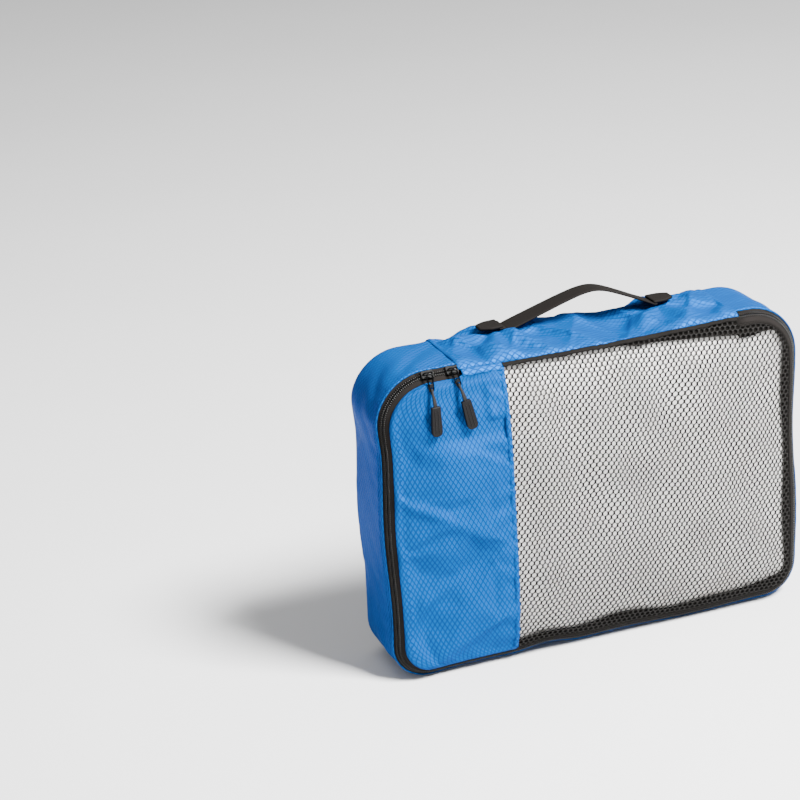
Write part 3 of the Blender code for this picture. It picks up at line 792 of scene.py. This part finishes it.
def make_zip():
    tray_reach = BAND / math.sqrt(2) + ZIP_SHIFT - 0.0010
    lid_reach = (BAND - 0.0018) * math.sqrt(2) - BAND / math.sqrt(2) - ZIP_SHIFT
    make_tape("zip_tape_tray_cloth", ["zip_tape_tray"], rim(TRAY_RUN, FINE_STEP),
              -0.0003, -tray_reach, "tray")
    make_tape("zip_tape_lid_cloth", ["zip_tape_lid"], rim(ZIP_RUN, FINE_STEP), 0.0003, lid_reach, "lid")
    make_coil("zip_coil_tray_turns", ["zip_coil_tray"], rim(TRAY_RUN, FINE_STEP), -1, "tray")
    make_coil("zip_coil_lid_turns", ["zip_coil_lid"], rim(ZIP_RUN, FINE_STEP), 1, "lid")
    end, end_stitches = make_tape("zip_tape_closed_end_cloth", ["zip_tape_closed_end"],
                                  rim(CLOSED_END, FINE_STEP), -0.0003, -tray_reach, None)
    for piece in (end, end_stitches):
        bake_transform(piece)
    make_coil("zip_coil_closed_end_turns", ["zip_coil_closed_end"], rim(CLOSED_END, FINE_STEP), -1, "lid")


# ---------- lid ----------

def lid_front(x, z):
    """Outer surface of the filled lid: crowned in its middle, and rolled back to the hinge at its top."""
    across = np.minimum(1, np.abs(x) / (HALF - BAND))
    along = np.minimum(1, np.abs(z - HEIGHT / 2) / (HEIGHT / 2 - BAND))
    rolled = np.clip((z - (HEIGHT - BAND)) / (PIVOT[2] - HEIGHT + BAND), 0, 1.1)
    return Y_FACE - LID_BULGE * (1 - across ** 4) * (1 - along ** 4) + (PIVOT[1] - Y_FACE) * 0.8 * rolled ** 2


def top_limit(x, inset):
    """Height of the lid's edge: the hinge seam along the hinge, and the zip's inner edge beyond it."""
    beyond = max(HINGE_LEFT + 0.001 - x, x - HINGE_RIGHT + 0.001, 0) / 0.003
    share = min(1, beyond)
    along = max(0.0, abs(x) - (HALF - CORNER_TOP))
    rim_drop = CORNER_TOP - math.sqrt(max(0.0, (CORNER_TOP - inset) ** 2 - along ** 2))
    return WINDOW_TOP * (1 - share) + (HEIGHT - rim_drop) * share


def lid_points(left, right, inset, columns, setback=0.0, step=STEP):
    """Grid over part of the lid, from its zip edge at the bottom to the hinge seam at its top."""
    straight = np.linspace(CORNER_BOTTOM, WINDOW_TOP, int((WINDOW_TOP - CORNER_BOTTOM) / step))
    heights = np.array(corner_heights(inset) + list(straight))
    points = np.zeros((len(heights), columns, 3))
    for row, z in enumerate(heights):
        points[row, :, 0] = np.linspace(left(z), right(z), columns)
    points[..., 2] = heights[:, None]
    top = np.array([top_limit(x, inset) for x in points[..., 0].reshape(-1)]).reshape(points.shape[:2])
    points[..., 2] = np.minimum(points[..., 2], top)
    points[..., 1] = lid_front(points[..., 0], points[..., 2]) + setback
    return settle(points)


def make_side_panel():
    """The blue panel of the lid: it runs up to the hinge, and its other edges lap over the zip's tape."""
    inset = BAND - LAP
    points = lid_points(lambda z: -half_width(z, inset), lambda z: MESH_LEFT + 0.0012, inset, 36, step=0.003)
    rows, columns = points.shape[:2]
    x, z = points[..., 0], points[..., 2]
    from_edge = np.minimum(x - x[:, :1], z - z[:1])
    at_zip = np.clip(1 - from_edge / 0.0028, 0, 1) ** 1.5
    points[..., 1] += (LAP - 0.0009) * at_zip - 0.0009
    inner = edge_fade(rows, columns, 12, 7)
    low = np.clip(1.15 - z / 0.13, 0, 1) * inner
    middle = np.exp(-((z - 0.135) / 0.04) ** 2) * inner
    points[..., 1] -= (0.0024 * fold(x, z, 0.048, math.radians(118), 1.1) * low
                       + 0.0010 * fold(x, z, 0.033, math.radians(150), 0.5) * low
                       + 0.0008 * fold(x, z, 0.055, math.radians(60), 0.2) * middle)
    shaped = puffed("side_trial", points, -1, 0.0005, 5, 0.5, 0.03, 0.004, bending=0.03)
    behind_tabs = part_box("pull_tab_left")[1][1] + 0.0014
    behind_links = Y_FACE - 0.0019
    limit = np.interp(z, (0.166, 0.196, 0.208, 0.229),
                      (behind_tabs - 0.012, behind_tabs, behind_tabs, behind_links))
    limit -= 0.010 * np.clip((x + 0.092) / 0.012, 0, 1) * (z > 0.208)
    shaped[..., 1] = np.maximum(shaped[..., 1], limit)
    above_tape = Y_FACE + np.maximum(0.0001, LAP - 0.0016 - from_edge)
    shaped[..., 1] = np.minimum(shaped[..., 1], above_tape + 0.010 * np.clip(from_edge / 0.012 - 1, 0, 1))
    piece = sheet_grid("lid_side_cloth", shaped, "ripstop", "lid", levels=1)
    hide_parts("lid_side_panel")
    edge = shaped[1:-1, 2]
    add_stitches("lid_side_stitches", [edge + (0, -0.0002, 0)], "blue_thread", "lid")


def net_centres():
    """Centres of the net's cells over the window, in rows that run a little askew."""
    low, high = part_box("lid_mesh_panel")
    middle_x, middle_z = (low[0] + high[0]) / 2, (low[2] + high[2]) / 2
    rows, columns = 48, 38
    for row in range(-rows, rows + 1):
        for column in range(-columns, columns + 1):
            u = (column + 0.5 * (row % 2)) * NET_PITCH
            v = row * NET_ROW
            yield (middle_x + u * math.cos(NET_TILT) - v * math.sin(NET_TILT),
                   middle_z + u * math.sin(NET_TILT) + v * math.cos(NET_TILT))


def in_window(x, z, inset):
    """Whether a cell's centre lies in the window, or so near to it that part of the cell does."""
    spare = NET_ROW * 0.45
    if not (inset - spare < z < top_limit(x, inset) + spare and MESH_LEFT - spare < x):
        return False
    return x < half_width(max(z, inset), inset) + spare


def make_net():
    """The window: round holes in real strands, thicker where they meet."""
    inset = BAND - 0.0006
    turns = np.arange(NET_SIDES) * math.pi / 6
    outer = np.where(np.arange(NET_SIDES) % 2 == 0, 1.0, math.cos(math.pi / 6))
    sideways, upwards = np.cos(turns + QUARTER), np.sin(turns + QUARTER)
    outline = np.stack([sideways * outer * NET_PITCH / math.sqrt(3),
                        upwards * outer * NET_ROW * 2 / 3], axis=-1)
    hole = np.stack([sideways * NET_HOLE[0] / 2, upwards * NET_HOLE[1] / 2], axis=-1)
    spin = np.array([[math.cos(NET_TILT), math.sin(NET_TILT)], [-math.sin(NET_TILT), math.cos(NET_TILT)]])
    centres = np.array([c for c in net_centres() if in_window(c[0], c[1], inset)])
    flat = np.stack([centres[:, None] + shape @ spin for shape in (outline, hole, hole)], axis=1)
    x, z = flat[..., 0], flat[..., 1]
    z = np.maximum(z, inset)
    x = np.clip(x, MESH_LEFT, half_width_of(z, inset))
    z = np.minimum(z, np.array([top_limit(v, inset) for v in x.reshape(-1)]).reshape(z.shape))
    fade = np.clip((x - MESH_LEFT) / 0.02, 0, 1) * np.clip((HALF - BAND - x) / 0.02, 0, 1)
    fade = fade * np.clip((z - BAND) / 0.02, 0, 1) * np.clip((HEIGHT - BAND - z) / 0.02, 0, 1)
    x, z = x + fade * 0.0017 * ripple(x, z, 31), z + fade * 0.0017 * ripple(x, z, 32)
    depth = np.array([-0.0004, 0.0, 0.0007])[None, :, None]
    y = lid_front(x, z) + fade * 0.0007 * ripple(x, z, 33) + depth
    points = settle(np.stack([x, y, z], axis=-1)).reshape(-1, 3)
    faces = [tuple(3 * NET_SIDES * cell + k for k in face)
             for cell in range(len(centres)) for face in grid_faces(3, NET_SIDES, wrap=True)]
    piece = add_piece("lid_net", points, faces, "mesh", "lid")
    weld(piece, 0.00012)
    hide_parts("lid_mesh_panel")


def make_lining():
    inset = BAND - 0.0018
    points = lid_points(lambda z: MESH_LEFT - 0.002, lambda z: half_width(z, inset),
                        inset, 62, LINING_BEHIND, 0.004)
    rows, columns = points.shape[:2]
    fade = edge_fade(rows, columns, 5, 5)
    x, z = points[..., 0], points[..., 2]
    points[..., 1] += 0.0006 * fade * (1 + ripple(x, z, 44, 9, 0.03, 0.12))
    shaped = relax("lining_trial", points, border(rows, columns), 0.3, 0.02, 14)
    shaped = capped(points, shaped, 0.0018)
    shaped[..., 1] = np.maximum(shaped[..., 1], lid_front(shaped[..., 0], shaped[..., 2]) + 0.0019)
    piece = sheet_grid("lid_lining_cloth", shaped, "lining", "lid", THIN_CLOTH)
    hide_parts("lid_lining")


def make_edge_strip():
    """The net's doubled edge, seen as a dark band inside the window, wider along the hinge."""
    run = [bottom_station(MESH_LEFT)] + BOTTOM_RIGHT + TOP_RIGHT + [top_station(HINGE_RIGHT + 0.001)]
    stations = rim(run)
    hinge = rim([top_station(HINGE_RIGHT - 0.0006), top_station(MESH_LEFT)])
    rows = []
    for x, z, nx, nz in stations:
        wide = 0.0048 + 0.0014 * math.sin(x * 90 + z * 60)
        if nz < -0.5:
            wide += 0.0022 + 0.0022 * math.sin(x * 48 + 1)
        if z > HEIGHT / 2 and nz > 0:
            wide = 0.0014 + 0.0038 * max(0, 1 - nz / 0.7) + 0.0072 * max(0, (nz - 0.75) / 0.25) ** 2
        rows.append([(x - nx * d, z - nz * d) for d in np.linspace(BAND - 0.0024, BAND + wide, 6)])
    for x, _, _, _ in hinge:
        grow = min(1, max(0, (x - 0.004) / 0.115))
        wide = 0.0020 + 0.0112 * grow ** 1.3 + 0.0022 * math.exp(-((x - 0.036) / 0.006) ** 2)
        rows.append([(x, WINDOW_TOP + 0.001 - d) for d in np.linspace(0, wide, 6)])
    flat = np.array(rows)
    points = np.stack([flat[..., 0], lid_front(flat[..., 0], flat[..., 1]) + 0.0012, flat[..., 1]], axis=-1)
    piece = sheet_grid("lid_edge_band", settle(points), "binding", "lid", THIN_CLOTH, flip=True)
    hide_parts("lid_edge_strip")


def make_hem():
    """The blue panel's folded edge, stitched over the net."""
    heights = np.concatenate([[BAND - 0.0006], np.linspace(BAND + 0.002, WINDOW_TOP - 0.0008, 66)])
    wobble = 0.0003 * np.sin(heights * 310) * np.clip((0.12 - heights) / 0.08, 0.2, 1)
    shape = ((-0.0036, 0.0001), (-0.0030, -0.0012), (-0.0016, -0.0015), (-0.0002, -0.0014),
             (0.0007, -0.0010), (0.0009, 0.0003))
    points = np.zeros((len(heights), len(shape), 3))
    for column, (across, out) in enumerate(shape):
        x = MESH_LEFT + 0.0012 + across + wobble
        points[:, column] = np.stack([x, lid_front(x, heights) + out, heights], axis=-1)
    points = settle(points)
    piece = sheet_grid("lid_hem_cloth", points, "ripstop", "lid", thickness=0.0005)
    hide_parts("lid_panel_hem")
    lines = [points[:, 1] * 0.6 + points[:, 2] * 0.4 + (0, -0.0002, 0)]
    add_stitches("lid_hem_stitches", lines, "blue_thread", "lid", pitch=0.0028)


def make_hinge_fold():
    """The fold at the hinge seam: a curved strip between the tray and the lid, lapped over the lid's edge."""
    blue = ((0.0009, -0.0004), (-0.0006, -0.0012), (-0.0020, -0.0022), (-0.0031, -0.0034), (-0.0036, -0.0046))
    black = ((0.0009, -0.0004), (-0.0005, -0.0010), (-0.0014, -0.0016), (-0.0021, -0.0025))
    for name, nodes, look, first, last, shape in (
            ("lid_hinge_fold_blue", ["hinge_seam_bead"], "ripstop", HINGE_LEFT, MESH_LEFT + 0.001, blue),
            ("lid_hinge_fold_black", ["lid_hinge_strip"], "binding", MESH_LEFT + 0.001, HINGE_RIGHT, black)):
        xs = np.linspace(first, last, max(16, int((last - first) / 0.0015)))
        points = grid_of(xs[:, None], [PIVOT[1] + p[0] for p in shape], [PIVOT[2] + p[1] for p in shape])
        wavy = 0.0003 * np.sin(xs * 160) + 0.0003 * np.sin(xs * 670 + 2 * np.sin(xs * 90))
        points[:, 1:, 2] -= (0.0002 + wavy)[:, None]
        points = settle(points)
        piece = sheet_grid(name, points, look, None, thickness=0.0006, flip=True)
        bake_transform(piece)
        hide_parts(*nodes)


# ---------- inner bindings ----------

def make_bindings():
    """Tapes over the raw edges inside, settled with the cloth that they bind."""
    inner = 0.0022
    strip = [(inner, Y_WALL + 0.0008 + 0.0017 * k) for k in range(6)]
    front = sheet_grid("front_binding_tape", along_rim(rim(ZIP_RUN), strip), "binding", "tray", BINDING_THICK)
    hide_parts("front_seam_binding")
    back_y = Y_BACK - 0.0036
    strip = [(BACK_EDGE - 0.001 + 0.0016 * k, back_y) for k in range(6)]
    stations = rim(ROUND + [ROUND[0]])
    back = sheet_grid("back_binding_tape", along_rim(stations, strip), "binding", "tray", BINDING_THICK)
    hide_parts("back_seam_binding")
    behind = Y_FACE + 0.0028
    run = [top_station(MESH_LEFT - 0.004)] + TOP_LEFT + BOTTOM_LEFT + [bottom_station(MESH_LEFT - 0.004)]
    strip = [(BAND + 0.0006 + 0.0012 * k, behind) for k in range(6)]
    side = sheet_grid("lid_side_binding_tape", along_rim(rim(run), strip), "binding", "lid", 0.0006)
    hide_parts("lid_side_binding")
    for end in ("left", "right"):
        node = "hinge_side_binding_" + end
        (x0, y0, z0), (x1, y1, _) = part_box(node)
        grid = np.array([[(x, y, z0 - 0.002) for x in np.linspace(x0, x1, 6)]
                         for y in np.linspace(y0, y1, 16)])
        piece = sheet_grid(node + "_tape", grid, "binding", "tray", BINDING_THICK)
        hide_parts(node)


# ---------- handle ----------

def strap_path(panel):
    """Middle line of the strap, from one stitched end to the other: x and z. Its legs are nearly straight."""
    low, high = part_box("handle_strap")
    half = (high[0] - low[0]) / 2
    share = np.sin(np.linspace(-QUARTER, QUARTER, 61))
    legs = (0.0205 * (1 + share), np.full(61, 0.0235), 0.031 * (1 - share))
    soft = 0.0026
    rise = -soft * np.log(sum(np.exp(-leg / soft) for leg in legs))
    x = HANDLE_PIVOT[0] + half * share
    bed = np.array([height_on(panel, a, HANDLE_PIVOT[1]) for a in x])
    near_end = np.clip((0.93 - np.abs(share)) / 0.05, 0, 1)
    return x, np.maximum(HANDLE_PIVOT[2] + rise, bed + 0.0021 - 0.02 * near_end)


def make_handle(panel):
    """The webbing strap and its two stitched ends, lying on the hinge panel."""
    x, z = strap_path(panel)
    low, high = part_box("handle_strap")
    half_strap = (high[1] - low[1]) / 2
    places = np.linspace(-1, 1, 11)
    span = high[0] - low[0]
    along = (x - low[0]) / span
    twist = math.radians(9) * (0.5 - along) * np.clip(np.minimum(along, 1 - along) / 0.1, 0, 1)
    points = grid_of(x[:, None], HANDLE_PIVOT[1] + places * half_strap * np.cos(twist)[:, None],
                     z[:, None] + places * half_strap * np.sin(twist)[:, None])
    piece = sheet_grid("handle_webbing", points, "webbing", None, STRAP_THICK, levels=1)
    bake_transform(piece)
    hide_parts("handle_strap")
    for side, name in ((-1, "handle_end_left"), (1, "handle_end_right")):
        make_handle_end(name, side, half_strap, panel)


def make_handle_end(name, side, half_strap, panel):
    """The strap's end: folded to a point, lying on the panel, with a box of stitches."""
    low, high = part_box(name)
    near, far = (high[0], low[0]) if side < 0 else (low[0], high[0])
    near -= side * 0.004
    reach = np.linspace(0, 1, 15)
    places = np.linspace(-1, 1, 9)
    x = near + (far - near) * reach
    width = half_strap * (1 - 0.5 * np.clip((reach - 0.5) / 0.5, 0, 1) ** 1.3)
    bed = np.array([height_on(panel, a, HANDLE_PIVOT[1]) for a in x])
    straight = bed[0] + (bed[-1] - bed[0]) * reach
    top = straight + max(0.0, float(np.max(bed - straight))) + 0.0019
    points = grid_of(x[:, None], HANDLE_PIVOT[1] + places * width[:, None], top[:, None])
    piece = sheet_grid(name + "_webbing", points, "webbing", "tray", STRAP_END_THICK, 1, flip=side < 0)
    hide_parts(name)
    lifted = points + (0, 0, STITCH_LIFT)
    box = [lifted[4, 1], lifted[11, 1], lifted[11, 7], lifted[4, 7], lifted[4, 1]]
    add_stitches(name + "_stitches", [box, [lifted[4, 1], lifted[11, 7]], [lifted[4, 7], lifted[11, 1]]],
                 "black_thread", "tray", pitch=0.0024, radius=0.0003)


# ---------- sliders and pulls ----------

UPRIGHT = Matrix(((1, 0, 0, 0), (0, 0, 1, 0), (0, 1, 0, 0), (0, 0, 0, 1)))     # stands a flat plate up

def zip_frame(x):
    """Axes at a place on the top run: along the zip, across it towards the lid, and off it."""
    inset, y = zip_point(0, 0)
    root = math.sqrt(0.5)
    axes = Matrix(((1, 0, 0), (0, -root, -root), (0, -root, root))).transposed().to_4x4()
    return Matrix.Translation((x, y, HEIGHT - inset)) @ axes


def plate(name, outline, low, high, place, look, body, bevel=0.0003, segments=2):
    """A flat plate from a 2-D outline, extruded and rounded, put in place by a matrix."""
    count = len(outline)
    points = [place @ Vector((a, b, level)) for level in (low, high) for a, b in outline]
    faces = [tuple(range(count))[::-1], tuple(range(count, 2 * count))]
    faces += [(k, (k + 1) % count, count + (k + 1) % count, count + k) for k in range(count)]
    piece = add_piece(name, points, faces, look, body)
    if area(outline) * place.to_3x3().determinant() < 0:
        piece.data.flip_normals()
    soften = piece.modifiers.new("bevel", "BEVEL")
    soften.width = bevel
    soften.segments = segments
    soften.limit_method = "ANGLE"
    soften.harden_normals = True
    return piece


def area(outline):
    return sum(a[0] * b[1] - b[0] * a[1] for a, b in zip(outline, outline[1:] + outline[:1])) / 2


def slider_outline(half_length, half_across, waist):
    """Waisted outline of a slider plate, wider at its mouth."""
    steps = np.linspace(-1, 1, 13)
    upper = [(half_length * t, half_across * (1 - waist * math.exp(-((t - 0.25) / 0.45) ** 2)))
             for t in steps]
    nose = [(half_length * 1.1, half_across * 0.45), (half_length * 1.1, -half_across * 0.45)]
    lower = [(a, -b) for a, b in reversed(upper)]
    tail = [(-half_length * 1.06, -half_across * 0.6), (-half_length * 1.06, half_across * 0.6)]
    return upper + nose + lower + tail


def arc_points(centre, radius, first, last, steps):
    return [(centre[0] + radius * math.cos(t), centre[1] + radius * math.sin(t))
            for t in np.linspace(first, last, steps)]


def make_slider(side, x, facing):
    """Slider with its two plates, side flanges and bail. facing is the way its mouth points."""
    body = "slider_" + side
    place = zip_frame(x) @ Matrix.Diagonal((facing, 1, 1, 1))
    outline = slider_outline(0.0046, 0.0036, 0.20)
    top = plate("slider_plate_" + side, outline, 0.0024, 0.0034, place, "metal", body, 0.0004, 3)
    plate("slider_under_" + side, outline, -0.0022, -0.0013, place, "metal", body, 0.0003, 2)
    for name, sign in (("tray", -1), ("lid", 1)):
        flange = [(a, sign * b) for a, b in ((-0.0044, 0.0029), (0.0042, 0.0029),
                                             (0.0042, 0.0034), (-0.0044, 0.0036))]
        plate("slider_flange_%s_%s" % (name, side), flange, 0.0006, 0.0028, place, "metal", body, 0.0002)
    post = [(0.0012, -0.0003), (0.0046, -0.0006), (0.0046, 0.0006), (0.0012, 0.0003)]
    plate("slider_post_" + side, post, -0.0016, 0.0028, place, "metal", body, 0.0001)
    bail = [place @ Vector((a, 0, b + 0.0033)) for a, b in
            [(-0.0034, 0.0)] + arc_points((-0.0018, 0.0012), 0.0014, math.pi, QUARTER, 5)
            + arc_points((0.0018, 0.0012), 0.0014, QUARTER, 0, 5) + [(0.0034, 0.0)]]
    arch = tube("slider_arch_" + side, bail, 0.0006, "metal", body, sides=10)
    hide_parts("slider_body_" + side)
    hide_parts("slider_bail_" + side)


def make_pull(side, tilt):
    """Wire link, cord loop and moulded grip, hanging from the slider's bail."""
    pin = Vector(JOINTS["link_left_hang" if side == "left" else "link_right_swing"]["pos_m"])
    lift = Vector(JOINTS["tab_%s_lift" % side]["pos_m"])
    turn = Matrix.Translation(pin) @ Matrix.Rotation(tilt, 4, "Y")
    eye = (lift - pin).length + 0.0001
    link = []
    for a, b in (arc_points((0, -0.0004), 0.0022, 0, math.pi, 12)
                 + arc_points((0, -eye + 0.0015), 0.0016, math.pi, 2 * math.pi, 10)):
        back = 0.0028 * max(0, 1 + b / 0.006)
        link.append(turn @ Vector((a, back, b)))
    ring = tube("pull_wire_" + side, link, WIRE_RADIUS, "steel", "link_" + side, closed=True, sides=10)
    neck = [(-0.0013, -0.0050), (0.0013, -0.0050), (0.0016, -eye + 0.0030), (-0.0016, -eye + 0.0030)]
    flat = turn @ UPRIGHT
    plate("pull_neck_" + side, neck, -0.0002, 0.0006, flat, "steel", "link_" + side, 0.0002)
    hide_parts("pull_link_" + side)
    make_grip(side, turn, eye)


def make_grip(side, turn, eye):
    """Doubled cord through the wire link's eye, and the moulded grip on its ends."""
    body = "tab_" + side
    tab_low, tab_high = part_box("pull_tab_left")
    pin = JOINTS["link_left_hang"]["pos_m"]
    top, bottom = tab_high[2] - pin[2], tab_low[2] - pin[2]
    front, back = tab_low[1] - pin[1], tab_high[1] - pin[1]
    middle = (front + back) / 2
    lean = math.atan2(middle, -(top + eye))
    loop = [(0, 0.0012 * math.cos(t), -eye + 0.0012 * math.sin(t))
            for t in np.linspace(lean, math.pi + lean, 11)]
    half_way = (top - eye) / 2
    rear, fore = ([(strand * 0.0004, middle * 0.45 + strand * 0.0009, half_way + 0.002),
                   (strand * 0.0007, middle * 0.8 + strand * 0.0002, half_way - 0.002),
                   (strand * 0.0007, middle, top - 0.002)] for strand in (1, -1))
    path = [turn @ Vector(p) for p in rear[::-1] + loop + fore]
    cord = tube("pull_loop_" + side, path, CORD_RADIUS, "cord", body, sides=10)
    subdivide(cord, 1)
    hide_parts("pull_cord_" + side)
    half_top, half_bottom = 0.0037, 0.0042
    outline = (arc_points((-half_top + 0.0010, top - 0.0010), 0.0010, math.pi, QUARTER, 4)
               + arc_points((half_top - 0.0010, top - 0.0010), 0.0010, QUARTER, 0, 4)
               + [(half_top + 0.0001, top - 0.006), (half_bottom, bottom + 0.007)]
               + arc_points((half_bottom - 0.0034, bottom + 0.0034), 0.0034, 0, -QUARTER, 7)
               + arc_points((-half_bottom + 0.0034, bottom + 0.0034), 0.0034, -QUARTER, -math.pi, 7)
               + [(-half_bottom, bottom + 0.007), (-half_top - 0.0001, top - 0.006)])
    flat = turn @ UPRIGHT
    grip = plate("pull_grip_" + side, outline, front, back, flat, "rubber", body, 0.0009, 4)
    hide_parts("pull_tab_" + side)
    for k in range(2):
        across = 0.0013 * (2 * k - 1)
        rib = [turn @ Vector((across, front + 0.0001, z))
               for z in np.linspace(top - 0.003, bottom + 0.003, 9)]
        tube("pull_rib_%s_%d" % (side, k), rib, RIB_RADIUS, "rubber", body, sides=8)


# ---------- stage ----------

def make_stage():
    """Plain pale floor, soft studio light and the camera."""
    scene = bpy.context.scene
    floor = add_floor()
    world = bpy.data.worlds.new("studio")
    world.use_nodes = True
    world.node_tree.nodes["Background"].inputs["Color"].default_value = (1, 1, 1, 1)
    world.node_tree.nodes["Background"].inputs["Strength"].default_value = 0.5
    scene.world = world
    for name, place, aim, size, power in (
            ("key", (0.75, -1.1, 1.95), (0, 0, 0.12), 0.7, 420),
            ("top", (-0.3, 0.5, 1.6), (0, 0, 0.2), 1.0, 6),
            ("fill", (-1.6, -0.7, 0.7), (0, 0, 0.1), 1.2, 4)):
        light = bpy.data.lights.new(name, "AREA")
        light.size = size
        light.energy = power
        lamp = bpy.data.objects.new(name, light)
        lamp.location = place
        lamp.rotation_euler = (Vector(aim) - Vector(place)).to_track_quat("-Z", "Y").to_euler()
        scene.collection.objects.link(lamp)
    camera = bpy.data.cameras.new("camera")
    camera.lens = 111.8
    camera.clip_end = 50
    eye = bpy.data.objects.new("camera", camera)
    heading, pitch, roll = math.radians(-18.96), math.radians(90 - 21.12), math.radians(-3.86)
    eye.matrix_world = (Matrix.Translation((-0.7099, -1.6418, 0.8905)) @ Matrix.Rotation(heading, 4, "Z")
                        @ Matrix.Rotation(pitch, 4, "X") @ Matrix.Rotation(roll, 4, "Z"))
    scene.collection.objects.link(eye)
    scene.camera = eye


def add_floor():
    look = Look("pale_floor", roughness=0.8, specular=0.2)
    look.colour(look.mix(look.noise(3), (0.58, 0.58, 0.58), (0.62, 0.62, 0.62)))
    mesh = bpy.data.meshes.new("floor")
    mesh.from_pydata([(-8, -8, 0), (8, -8, 0), (8, 8, 0), (-8, 8, 0)], [], [(0, 1, 2, 3)])
    mesh.materials.append(look.material)
    floor = bpy.data.objects.new("floor", mesh)
    bpy.context.scene.collection.objects.link(floor)
    return floor


make_gusset()
hinge_cloth = make_hinge_panel()
make_back_panel()
make_zip()
make_side_panel()
make_net()
make_lining()
make_edge_strip()
make_hem()
make_hinge_fold()
make_bindings()
make_handle(hinge_cloth)
make_slider("left", LEFT_SLIDER_X, -1)
make_slider("right", RIGHT_SLIDER_X, 1)
make_pull("left", 0.0)
make_pull("right", math.radians(-12))
make_stage()
